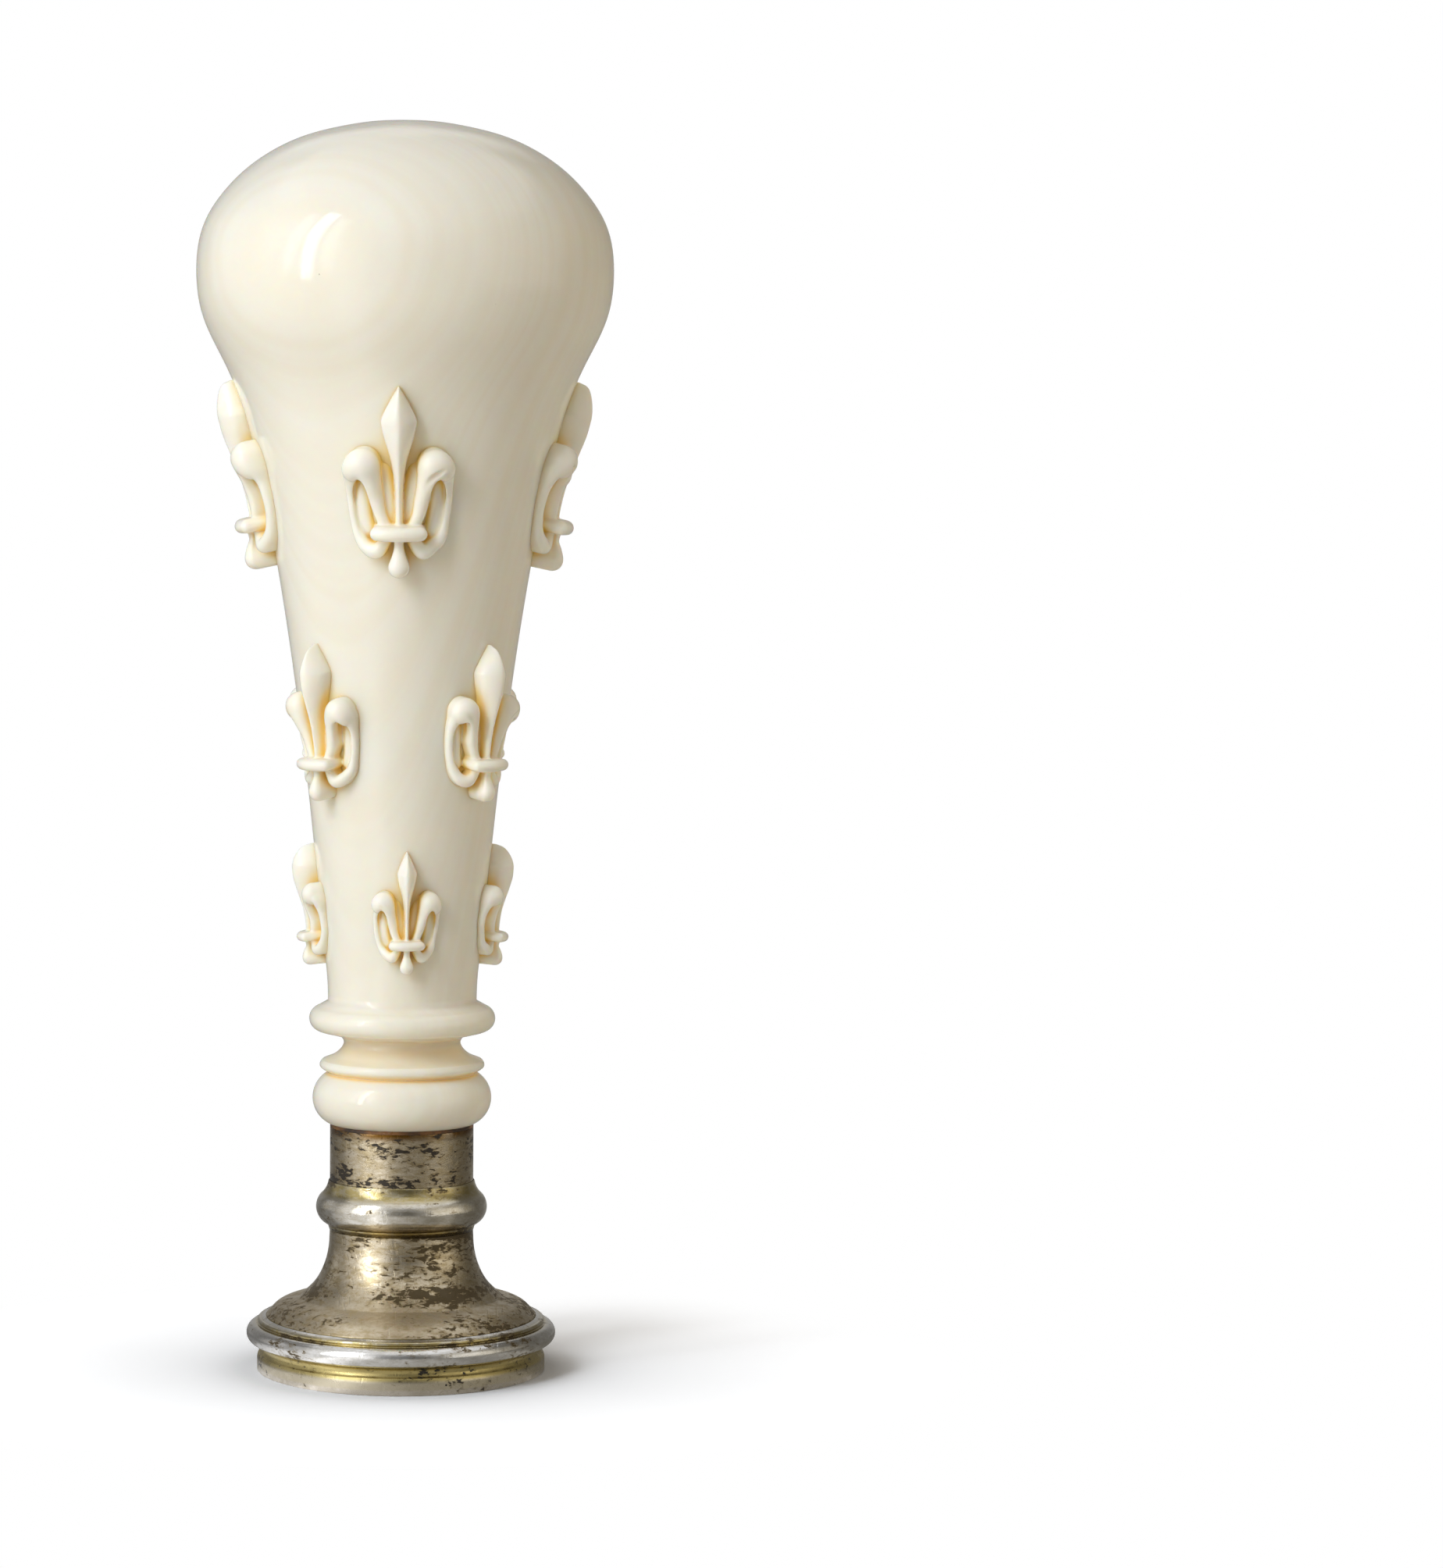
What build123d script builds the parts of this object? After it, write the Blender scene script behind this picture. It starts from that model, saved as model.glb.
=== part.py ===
from build123d import *
from math import asin, degrees, sqrt
import os

os.makedirs("parts", exist_ok=True)

# A desk seal in millimetres. It stands on its engraved face, with +Z up the handle
# and the origin at the middle of that face. One fleur of the top row faces -Y.

# Oval die: half-widths run along X, and the long half is longer by the same amount throughout
die_half_width = 11.55
oval_extra = 2.2
die_rim_height = 1.15
cove_height = 1.0
cove_depth = 0.3
plug_half_width = 9.2
plug_height = 1.0
border_inset = 0.4
border_width = 0.5
border_depth = 0.3

# Oval moulding between the die and the foot
moulding_half_width = 12.4
moulding_height = 2.2
moulding_lip = 0.75
moulding_bead_height = 1.6
moulding_quirk = 0.15
moulding_fillet_swell = 0.12

# Flared foot, oval below and round at the neck
shoulder_half_width = 10.85
shoulder_height = 1.4
shoulder_swell = 0.15
waist_half_width = 8.05
flare_height = 5.4
flare_power = 2.6
flare_stations = (0, 0.2, 0.5, 1)
neck_height = 0.45
foot_wall = 0.8

# Half-round ring and collar of the mount
collar_radius = 5.75
collar_wall = 0.7
bead_height = 3.4
bead_projection = 1.1
bead_fillet = 0.3
collar_exposed = 4.6

# Cement between the mount and the handle's spigot
cement_film = 0.35
cement_joint = 0.25
spigot_length = 5.6

# Turned rings at the foot of the handle
base_ring_projection = 1.4
base_ring_height = 4.15
nick_radius = 5.9
flange_radius = 6.6
flange_height = 1.0
flange_land = 0.3
flange_bevel = 0.15
groove_radius = 4.7
groove_height = 1.9
cavetto_height = 1.35
top_ring_root_radius = 5.0
top_ring_radius = 7.45
top_ring_height = 2.8
top_ring_rim = 0.65
top_ring_undercut = 0.5
top_ring_fall = 0.45

# Tapered shaft, a long hollow curve
shaft_foot_radius = 5.95
shaft_mid_radius = 8.35
shaft_head_radius = 12.65
shaft_length = 46.8

# Mushroom knob
throat_radius = 14.75
throat_height = 5.0
swell_height = 6.2
knob_radius = 16.6
dome_height = 12.3
crown_radius = 24.0
crown_reach = 9.8

# Fleurs-de-lis: each row's rise above the shaft's foot, and its height
lower_fleur_rise = 2.95
lower_fleur_height = 9.95
middle_fleur_rise = 16.65
middle_fleur_height = 12.65
upper_fleur_rise = 34.8
upper_fleur_height = 15.4
fleurs_per_row = 4

# How far each part of a fleur stands out of the shaft
lance_relief = 1.95
lance_edge_relief = 0.9
lance_tip_relief = 0.4
petal_relief = 1.75
hollow_rise = 0.85
band_relief = 2.5
band_end_relief = 1.7
drop_relief = 2.2
drop_edge_relief = 1.5
drop_end_relief = 1.2
peg_radius = 0.6
peg_depth = 2.4
peg_root = 0.5
blank_depth = 2.0

# Shape of every fleur as shares of its height: across, up from its foot, and a ball's radius
lance_widest = (0.094, 0.8)
lance_bulge = (0.056, 0.91)
lance_waist = (0.055, 0.625)
stem_bend = (0.031, 0.53)
stem_top = (0.022, 0.42)
tip_round = 0.2
curl_ball = (0.125, 0.15, 0.068)
hood_ball = (0.162, 0.56, 0.11)
hollow_low_ball = (0.165, 0.25, 0.04)
hollow_high_ball = (0.178, 0.42, 0.055)
band_middle = 0.233
band_size = (0.295, 0.084)
drop_widest = (0.046, 0.06)
drop_neck = 0.02
drop_round = 0.1

# Clearances
fit_gap = 0.03
glue_gap = 0.05
peg_gap = 0.04
socket_floor_gap = 0.2
filling_gap = 0.1

# Heights of the pieces, stacked from the face up
cove_top = die_rim_height + cove_height
plug_top = cove_top + plug_height
moulding_top = cove_top + moulding_height
waist_z = moulding_top + shoulder_height
neck_z = waist_z + flare_height
bead_low = neck_z + neck_height
bead_mid = bead_low + bead_height / 2
bead_high = bead_low + bead_height
collar_top = bead_high + collar_exposed
handle_foot = collar_top + cement_joint
flange_z = handle_foot + base_ring_height
groove_z = flange_z + flange_height
top_ring_z = groove_z + groove_height
shaft_foot = top_ring_z + top_ring_height
shaft_head = shaft_foot + shaft_length
throat_z = shaft_head + throat_height
knob_z = throat_z + swell_height
apex_z = knob_z + dome_height

# Radii where the spigot, its cement and the mount meet
bore_radius = collar_radius - collar_wall
spigot_radius = bore_radius - cement_film
spigot_end = handle_foot - spigot_length


def turned(edges):
    return revolve(Plane.XZ * make_face(edges), Axis.Z)


# An oval is drawn from four quarter arcs, whose centres lie this far from its middle
def arc_offset(extra):
    return extra * (1 + sqrt(0.5))


def oval(half_width, extra, z):
    corner = (half_width + arc_offset(extra)) * sqrt(0.5)
    x = corner - arc_offset(extra)
    side = ThreePointArc((x, -corner), (half_width, 0), (x, corner))
    end = ThreePointArc((x, corner), (0, half_width + extra), (-x, corner))
    half = [side, end]
    return Plane.XY.offset(z) * make_face(half + [Rot(0, 0, 180) * edge for edge in half])


def oval_plate(half_width, low, high):
    return extrude(oval(half_width, oval_extra, low), high - low)


# A section in X and Z, carried round the oval as four turned quarters
def oval_sweep(edges):
    section = Plane.XZ * make_face(edges)
    centre = arc_offset(oval_extra)
    side = revolve(Rot(0, 0, -45) * Pos(centre, 0) * section, Axis.Z, 90)
    end = revolve(Rot(0, 0, 45) * Pos(oval_extra - centre, 0) * section, Axis.Z, 90)
    half = Pos(-centre, 0) * side + Pos(0, centre) * end
    return half + Rot(0, 0, 180) * half


# The shaft's side from foot to head, grown by a gap
def shaft_side(gap):
    return ThreePointArc(
        (shaft_foot_radius + gap, shaft_foot),
        (shaft_mid_radius + gap, shaft_foot + shaft_length / 2),
        (shaft_head_radius + gap, shaft_head),
    )


def shaft_radius(z):
    arc = shaft_side(0)
    reach = sqrt(arc.radius**2 - (z - arc.arc_center.Y) ** 2)
    hollow = arc.arc_center.X > shaft_mid_radius
    return arc.arc_center.X - reach if hollow else arc.arc_center.X + reach


def spigot_side():
    return Polyline(
        (0, apex_z),
        (0, spigot_end),
        (spigot_radius, spigot_end),
        (spigot_radius, handle_foot),
        (collar_radius, handle_foot),
    )


# Base ring, thin flange, groove and top ring, from the mount up to the shaft
def ring_sides():
    base_ring = ThreePointArc(
        (collar_radius, handle_foot),
        (collar_radius + base_ring_projection, handle_foot + base_ring_height / 2),
        (nick_radius, flange_z),
    )
    flange_mid = flange_z + flange_height / 2
    lip = (flange_radius - flange_bevel, groove_z)
    flange = Polyline(
        (nick_radius, flange_z),
        (flange_radius, flange_mid - flange_land / 2),
        (flange_radius, flange_mid + flange_land / 2),
        lip,
    )
    neck = (groove_radius, groove_z + cavetto_height)
    root = (top_ring_root_radius, top_ring_z)
    cavetto = TangentArc(neck, lip, tangent=(0, -1))
    groove = TangentArc(neck, root, tangent=(0, 1))
    rim_low = (top_ring_radius - top_ring_rim, top_ring_z + top_ring_undercut)
    rim_high = (top_ring_radius - top_ring_rim, shaft_foot - top_ring_fall)
    rim = ThreePointArc(rim_low, (top_ring_radius, top_ring_z + top_ring_height / 2), rim_high)
    underside = Line(root, rim_low)
    top = Line(rim_high, (shaft_foot_radius, shaft_foot))
    return [base_ring, flange, cavetto, groove, underside, rim, top]


# From the shaft's head through the throat to the widest part of the knob, grown by a gap
def knob_under_sides(gap):
    shaft = shaft_side(gap)
    throat_point = (throat_radius + gap, throat_z)
    throat = TangentArc(shaft @ 1, throat_point, tangent=shaft % 1)
    swell = TangentArc((knob_radius + gap, knob_z), throat_point, tangent=(0, -1))
    return [throat, swell]


def knob_dome_sides():
    crown_fall = crown_radius - sqrt(crown_radius**2 - crown_reach**2)
    crown_edge = (crown_reach, apex_z - crown_fall)
    dome = TangentArc((knob_radius, knob_z), crown_edge, tangent=(0, 1))
    crown = TangentArc((0, apex_z), crown_edge, tangent=(1, 0))
    return [dome, crown]


# The plane of a fleur: X across it, Y up the shaft and Z out of the shaft
def fleur_plane(rise, height):
    low_z = shaft_foot + rise
    low = shaft_radius(low_z)
    high = shaft_radius(low_z + height)
    up = Vector(0, low - high, height).normalized()
    across = Vector(1, 0, 0)
    return Plane(origin=(0, -low, low_z), x_dir=across, z_dir=across.cross(up))


def scaled(point, height):
    return (point[0] * height, point[1] * height)


def raised(face, depth, relief):
    return extrude(Pos(0, 0, -depth) * face, depth + relief)


def both_sides(half):
    return half + mirror(half, Plane.YZ)


# A leaf with a ridge down its middle: an outline, under two flats, within a side view
def ridged_leaf(outline, half_width, edge_relief, relief, side_view, height, depth):
    roof = Polyline(
        (-half_width, -depth),
        (half_width, -depth),
        (half_width, edge_relief),
        (0, relief),
        (-half_width, edge_relief),
        close=True,
    )
    under_roof = extrude(Plane.XZ * make_face(roof), 2 * height, both=True)
    in_view = extrude(Plane.YZ * make_face(side_view), height, both=True)
    return raised(outline, depth, relief) & under_roof & in_view


# The lance-shaped middle petal, on a slender stem that runs down into the band
def lance(height, depth):
    root = band_middle * height
    widest = scaled(lance_widest, height)
    waist = scaled(lance_waist, height)
    stem = scaled(stem_top, height)
    blade = ThreePointArc((0, height), scaled(lance_bulge, height), widest)
    taper = Line(widest, waist)
    bend = ThreePointArc(waist, scaled(stem_bend, height), stem)
    foot = Polyline(stem, (stem[0], root), (0, root), (0, height))
    shoulder = height * (1 - tip_round)
    tip = TangentArc((shoulder, lance_relief), (height, lance_tip_relief), tangent=(1, 0))
    side_view = [
        tip,
        Polyline((height, lance_tip_relief), (height, -depth), (0, -depth), (0, lance_relief), tip @ 0),
    ]
    outline = both_sides(make_face([blade, taper, bend, foot]))
    return ridged_leaf(outline, widest[0], lance_edge_relief, lance_relief, side_view, height, depth)


# A pear turned about the line from the middle of its small end to that of its large end
def pear(small_middle, small_radius, large_middle, large_radius):
    axis = Vector(*large_middle) - Vector(*small_middle)
    lean = degrees(asin((large_radius - small_radius) / axis.length))
    small = CenterArc((0, 0), small_radius, -90, 90 - lean)
    large = CenterArc((0, axis.length), large_radius, -lean, 90 + lean)
    flank = Line(small @ 1, large @ 0)
    spine = Line(large @ 1, small @ 0)
    return Plane(origin=small_middle, z_dir=axis) * turned([small, flank, large, spine])


# Middle and radius of a ball that lies at a lift over the fleur's plane
def ball(shares, height, lift):
    across, up, radius = (share * height for share in shares)
    return (across, up, lift), radius


# One side petal: a pear with its hood above and its curl below, hollowed under the hood
def side_petal(height):
    hood_radius = hood_ball[2] * height
    lift = petal_relief - hood_radius
    body = pear(*ball(curl_ball, height, lift), *ball(hood_ball, height, lift))
    hollow_lift = lift + hollow_rise
    hollow = pear(*ball(hollow_low_ball, height, hollow_lift), *ball(hollow_high_ball, height, hollow_lift))
    return body - hollow


# The drop that hangs below the band
def drop(height, depth):
    root = band_middle * height
    half, low = scaled(drop_widest, height)
    neck = drop_neck * height
    outline = make_face(
        [
            Polyline((-half, low), (-neck, root), (neck, root), (half, low)),
            ThreePointArc((half, low), (0, 0), (-half, low)),
        ]
    )
    shoulder = drop_round * height
    end = TangentArc((shoulder, drop_relief), (0, drop_end_relief), tangent=(-1, 0))
    side_view = [
        end,
        Polyline((0, drop_end_relief), (0, -depth), (root, -depth), (root, drop_relief), end @ 0),
    ]
    return ridged_leaf(outline, half, drop_edge_relief, drop_relief, side_view, height, depth)


# The bowed band that ties the petals
def band(height):
    bow = band_relief - band_end_relief
    half_width = band_size[0] * height / 2
    round_radius = (half_width**2 + bow**2) / (2 * bow)
    round_axis = Pos(0, band_middle * height, band_relief - round_radius) * Rot(90, 0, 0)
    face = Pos(0, band_middle * height) * SlotOverall(*scaled(band_size, height))
    return raised(face, blank_depth, band_relief) & round_axis * Cylinder(round_radius, height)


# A fleur on its plane, deep enough at the back to be cut to the round of the shaft
def fleur_blank(height):
    blank = both_sides(side_petal(height)) + band(height)
    return blank + lance(height, blank_depth) + drop(height, blank_depth)


def peg(height, radius, depth):
    length = depth + peg_root
    return Pos(0, band_middle * height, peg_root - length / 2) * Cylinder(radius, length)


def fleur(rise, height):
    plane = fleur_plane(rise, height)
    side = shaft_side(glue_gap)
    throat, swell = knob_under_sides(glue_gap)
    spine = Polyline(swell @ 0, (0, knob_z), (0, shaft_foot), side @ 0)
    core = turned([side, throat, swell, spine])
    return plane * fleur_blank(height) - core + plane * peg(height, peg_radius, peg_depth)


rows = (
    ("upper_fleur", upper_fleur_rise, upper_fleur_height, 0),
    ("middle_fleur", middle_fleur_rise, middle_fleur_height, 0.5),
    ("lower_fleur", lower_fleur_rise, lower_fleur_height, 0),
)


# Turns that set a row's copies round the handle, in steps from the front
def row_turns(first_step):
    return [Rot(0, 0, (i + first_step) * 360 / fleurs_per_row) for i in range(fleurs_per_row)]


def handle():
    body = turned([spigot_side(), *ring_sides(), shaft_side(0), *knob_under_sides(0), *knob_dome_sides()])
    for name, rise, height, first_step in rows:
        drill = peg(height, peg_radius + peg_gap, peg_depth + socket_floor_gap)
        socket = fleur_plane(rise, height) * drill
        for turn in row_turns(first_step):
            body -= turn * socket
    return body


# Thin cement sleeve round the spigot, with the line that shows over the collar
def shellac_cement():
    inner = spigot_radius + fit_gap
    outer = bore_radius - fit_gap
    section = Polyline(
        (inner, spigot_end),
        (outer, spigot_end),
        (outer, collar_top),
        (collar_radius, collar_top),
        (collar_radius, handle_foot),
        (inner, handle_foot),
        close=True,
    )
    return turned(section)


def collar():
    height = collar_top - bead_mid
    tube = Cylinder(collar_radius, height) - Cylinder(bore_radius, height)
    return Pos(0, 0, bead_mid + height / 2) * tube


# Half-round ring over the joint of collar and foot, with a small fillet above and below
def neck_bead():
    inner = collar_radius + fit_gap
    root = inner + bead_fillet
    low = bead_low - bead_fillet
    high = bead_high + bead_fillet
    back = Polyline((root, bead_low), (inner, low), (inner, high), (root, bead_high))
    front = ThreePointArc((root, bead_low), (collar_radius + bead_projection, bead_mid), (root, bead_high))
    return turned([back, front])


# Half-width of the flare at a share of its height above the waist
def flare_half_width(share):
    return collar_radius + (waist_half_width - collar_radius) * (1 - share) ** flare_power


# The foot's outside, or its hollow when it is drawn in by an inset
def foot_form(inset, top):
    spread = oval_extra / (shoulder_half_width - collar_radius)
    shoulder_mid = (waist_half_width + shoulder_half_width) / 2 + shoulder_swell
    shoulder = (
        (shoulder_half_width, moulding_top),
        (shoulder_mid, moulding_top + shoulder_height / 2),
        (waist_half_width, waist_z),
    )
    flare = [(flare_half_width(s), waist_z + flare_height * s) for s in flare_stations]

    def joined(stations):
        return loft([oval(w - inset, (w - collar_radius) * spread, z - inset) for w, z in stations])

    neck_low = neck_z - inset
    neck = extrude(Plane.XY.offset(neck_low) * Circle(collar_radius - inset), top - neck_low)
    return joined(shoulder) + joined(flare) + neck


def flared_foot():
    bore = extrude(Plane.XY.offset(moulding_top) * Circle(bore_radius), bead_mid - moulding_top)
    return foot_form(0, bead_mid) - foot_form(foot_wall, neck_z) - bore


# Oval moulding: a bold bead below, a quirk, and a small round fillet up to the foot
def rim_moulding():
    inner = plug_half_width + fit_gap
    lip = moulding_half_width - moulding_lip
    bead_top = cove_top + moulding_bead_height
    bead = ThreePointArc(
        (lip, cove_top),
        (moulding_half_width, cove_top + moulding_bead_height / 2),
        (lip, bead_top),
    )
    quirk = (lip - moulding_quirk, bead_top)
    seat = (shoulder_half_width, moulding_top)
    swell = moulding_fillet_swell
    fillet = ThreePointArc(
        quirk,
        ((quirk[0] + seat[0]) / 2 + swell, (quirk[1] + seat[1]) / 2 + swell),
        seat,
    )
    back = Polyline(seat, (inner, moulding_top), (inner, cove_top), (lip, cove_top))
    return oval_sweep([bead, Line((lip, bead_top), quirk), fillet, back])


# Oval die with a hollow edge, a plug into the moulding and a groove round its face
def matrix():
    wall = die_half_width
    past = wall + cove_depth
    cove = [
        ThreePointArc(
            (wall, die_rim_height),
            (wall - cove_depth, die_rim_height + cove_height / 2),
            (wall, cove_top),
        ),
        Polyline((wall, cove_top), (past, cove_top), (past, die_rim_height), (wall, die_rim_height)),
    ]
    groove_outer = die_half_width - border_inset
    groove_inner = groove_outer - border_width
    groove = oval_plate(groove_outer, 0, border_depth) - oval_plate(groove_inner, 0, border_depth)
    plate = oval_plate(die_half_width, 0, cove_top) + oval_plate(plug_half_width, cove_top, plug_top)
    return plate - oval_sweep(cove) - groove


# Pitch that fills the foot between the die's plug and the end of the spigot
def pitch_filling():
    low = plug_top + filling_gap
    step = moulding_top - filling_gap
    high = spigot_end - filling_gap
    upper = foot_form(foot_wall + filling_gap, high)
    upper &= Pos(0, 0, (step + high) / 2) * Cylinder(2 * moulding_half_width, high - step)
    return upper + oval_plate(plug_half_width - filling_gap, low, step)


pieces = {
    "handle": handle(),
    "shellac_cement": shellac_cement(),
    "collar": collar(),
    "neck_bead": neck_bead(),
    "flared_foot": flared_foot(),
    "rim_moulding": rim_moulding(),
    "matrix": matrix(),
    "pitch_filling": pitch_filling(),
}

# Names of the places round the handle, from the front towards the right
straight_places = ("front", "right", "back", "left")
slanted_places = ("front_right", "back_right", "back_left", "front_left")

for name, rise, height, first_step in rows:
    motif = fleur(rise, height)
    places = slanted_places if first_step else straight_places
    for place, turn in zip(places, row_turns(first_step)):
        pieces[f"{name}_{place}"] = turn * motif

for node, shape in pieces.items():
    export_step(shape, f"parts/{node}.step")
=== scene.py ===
import itertools
import math

import bmesh
import bpy
import numpy as np
from mathutils import Matrix, Vector


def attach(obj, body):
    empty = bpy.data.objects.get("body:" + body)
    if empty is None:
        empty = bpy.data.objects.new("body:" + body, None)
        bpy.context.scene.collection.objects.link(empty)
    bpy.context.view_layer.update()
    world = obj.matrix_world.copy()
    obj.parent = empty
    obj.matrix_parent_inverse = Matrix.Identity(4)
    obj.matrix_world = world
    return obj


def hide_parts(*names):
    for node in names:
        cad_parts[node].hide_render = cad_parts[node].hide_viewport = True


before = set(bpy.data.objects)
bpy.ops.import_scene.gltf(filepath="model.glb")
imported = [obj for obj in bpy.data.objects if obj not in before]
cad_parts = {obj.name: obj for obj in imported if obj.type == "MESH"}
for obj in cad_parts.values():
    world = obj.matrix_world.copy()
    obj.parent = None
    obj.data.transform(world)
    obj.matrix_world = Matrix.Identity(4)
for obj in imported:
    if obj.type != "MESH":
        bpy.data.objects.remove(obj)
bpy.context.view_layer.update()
mm = 0.001  # every size below is in millimetres, unless a note says otherwise


def pick(look, keys):
    return [look[key] for key in keys.split()]


# Outlines: lists of points, in millimetres
def arcThrough(start, middle, end, steps):
    (ax, ay), (bx, by), (cx, cy) = start, middle, end
    d = 2 * (ax * (by - cy) + bx * (cy - ay) + cx * (ay - by))
    a2, b2, c2 = ax * ax + ay * ay, bx * bx + by * by, cx * cx + cy * cy
    ox = (a2 * (by - cy) + b2 * (cy - ay) + c2 * (ay - by)) / d
    oy = (a2 * (cx - bx) + b2 * (ax - cx) + c2 * (bx - ax)) / d
    radius = math.hypot(ax - ox, ay - oy)
    first = math.atan2(ay - oy, ax - ox)
    sweep = (math.atan2(cy - oy, cx - ox) - first) % math.tau
    half = (math.atan2(by - oy, bx - ox) - first) % math.tau
    if half > sweep:
        sweep -= math.tau
    turns = [first + sweep * i / steps for i in range(steps + 1)]
    return [(ox + radius * math.cos(t), oy + radius * math.sin(t)) for t in turns]


def smoothLine(stations, steps):  # a soft curve through every station, in any number of columns
    rows = np.array(stations, float)
    rows = np.vstack([2 * rows[0] - rows[1], rows, 2 * rows[-1] - rows[-2]])
    made = []
    for p0, p1, p2, p3 in zip(rows, rows[1:], rows[2:], rows[3:]):
        for t in np.arange(steps) / steps:
            bend = (2 * p0 - 5 * p1 + 4 * p2 - p3) * t * t + (3 * p1 - p0 - 3 * p2 + p3) * t ** 3
            made.append(p1 + 0.5 * ((p2 - p0) * t + bend))
    made.append(rows[-2])
    return np.array(made)


def fairLine(points, spacing, rounds):  # even steps up to the axis, smoothed without shrinking
    rows = np.array(points, float)
    rows = np.vstack([rows, rows[-2::-1] * (-1, 1)])
    run = np.concatenate([[0], np.cumsum(np.linalg.norm(np.diff(rows, axis=0), axis=1))])
    half = int(run[-1] / spacing / 2)
    even = np.linspace(0, run[-1], 2 * half + 1)
    rows = np.column_stack([np.interp(even, run, rows[:, i]) for i in (0, 1)])
    for share in (0.5, -0.52) * rounds:
        rows[1:-1] += share * ((rows[:-2] + rows[2:]) / 2 - rows[1:-1])
    return rows[:half]


def softCorners(points, size, sharpest=0.3):  # rounds every corner that turns by more than sharpest
    made = [points[0]]
    for before, here, after in zip(points, points[1:], points[2:]):
        a, b, c = Vector(before), Vector(here), Vector(after)
        if (b - a).length < 1e-6 or (c - b).length < 1e-6:
            continue
        if (b - a).angle(c - b) < sharpest:
            made.append(here)
            continue
        a = b + (a - b).normalized() * min(size, (a - b).length * 0.45)
        c = b + (c - b).normalized() * min(size, (c - b).length * 0.45)
        for t in (0, 0.25, 0.5, 0.75, 1):
            made.append(tuple(a * (1 - t) ** 2 + b * 2 * t * (1 - t) + c * t * t))
    return made + [points[-1]]


# Rings: one loop of points per station of a profile, joined into a closed skin
def roundTurns(count):
    return np.arange(count) * math.tau / count


def ovalLoop(halfWidth, extra, z, turns):  # four arcs, longer along Y by extra
    c, s = np.cos(turns), np.sin(turns)
    offset = extra * (1 + math.sqrt(0.5))
    side = np.abs(c) >= np.abs(s) - 1e-9
    reach = np.where(side, halfWidth + offset, halfWidth + extra - offset)
    x = reach * c - np.where(side, np.copysign(offset, c), 0)
    y = reach * s + np.where(side, 0, np.copysign(offset, s))
    return np.column_stack([x, y, np.broadcast_to(z, x.shape)])


def poleLoop(z):
    return np.array([[0.0, 0.0, z]])


def skinLoops(loops, closed=False):
    starts = np.cumsum([0] + [len(loop) for loop in loops])
    faces = []
    pairs = list(zip(range(len(loops)), range(1, len(loops))))
    if closed:
        pairs.append((len(loops) - 1, 0))
    for low, high in pairs:
        n, m = len(loops[low]), len(loops[high])
        most = max(n, m)
        for i in range(most):
            a, b = starts[low] + i * n // most, starts[low] + (i + 1) * n // most % n
            d, c = starts[high] + i * m // most, starts[high] + (i + 1) * m // most % m
            corners = list(dict.fromkeys([int(a), int(b), int(c), int(d)]))
            if len(corners) > 2:
                faces.append(corners)
    return np.vstack(loops), faces


# A new piece, in the place of a solid of the frame
def addPiece(name, points, faces, node, material):
    mesh = bpy.data.meshes.new(name)
    mesh.from_pydata((np.asarray(points) * mm).tolist(), [], faces)
    tidy = bmesh.new()
    tidy.from_mesh(mesh)
    bmesh.ops.recalc_face_normals(tidy, faces=tidy.faces)
    tidy.to_mesh(mesh)
    tidy.free()
    mesh.polygons.foreach_set("use_smooth", [True] * len(mesh.polygons))
    mesh.materials.append(material)
    piece = bpy.data.objects.new(name, mesh)
    bpy.context.collection.objects.link(piece)
    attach(piece, "root")
    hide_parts(node)
    return piece


# Shader nodes. One tree is wired at a time: that of the newest material, group or world
wiring = {}


def addNode(kind, inputs=None, **settings):
    made = wiring["tree"].nodes.new("ShaderNode" + kind)
    for key, value in settings.items():
        setattr(made, key, value)
    setInputs(made.inputs, inputs or {})
    return made


def plug(socket, value):
    if isinstance(value, bpy.types.NodeSocket):
        wiring["tree"].links.new(value, socket)
    else:
        socket.default_value = value


def setInputs(sockets, values):
    for key, value in values.items():
        plug(sockets[key], value)


def calc(operation, *values):
    return addNode("Math", dict(enumerate(values)), operation=operation).outputs[0]


def times(first, second):
    return calc("MULTIPLY", first, second)


def blendColor(factor, first, second):
    return addNode("Mix", {0: factor, 6: first, 7: second}, data_type="RGBA").outputs[2]


def layerColors(color, *layers):  # each layer: how far it covers, then its colour
    for share, over in layers:
        color = blendColor(share, color, over)
    return color


def remap(value, low, high, newLow=0.0, newHigh=1.0):
    inputs = {"Value": value, 1: low, 2: high, 3: newLow, 4: newHigh}
    return addNode("MapRange", inputs, interpolation_type="SMOOTHSTEP").outputs[0]


def noise(vector, scale, detail=2.0, roughness=0.5, distortion=0.0):
    inputs = {"Vector": vector, "Scale": scale, "Detail": detail}
    inputs |= {"Roughness": roughness, "Distortion": distortion}
    return addNode("TexNoise", inputs).outputs["Fac"]


def position():
    return addNode("NewGeometry").outputs["Position"]


def coordinate(place, axis):
    return addNode("SeparateXYZ", {0: place}).outputs[axis]


def bumped(height, strength, depth):  # a normal, with the depth in millimetres
    inputs = {"Height": height, "Strength": strength, "Distance": depth * mm}
    return addNode("Bump", inputs).outputs[0]


def newGroup(name, inputs, outputs):
    group = bpy.data.node_groups.new(name, "ShaderNodeTree")
    wiring["tree"] = group
    for socket, value in inputs.items():
        made = group.interface.new_socket(socket, in_out="INPUT", socket_type="NodeSocketFloat")
        made.default_value = value
    for socket in outputs:
        group.interface.new_socket(socket, in_out="OUTPUT", socket_type="NodeSocketFloat")
    start = group.nodes.new("NodeGroupInput")
    end = group.nodes.new("NodeGroupOutput")
    return group, start.outputs, end.inputs


def useGroup(group, **values):
    return addNode("Group", values, node_tree=group).outputs


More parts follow.
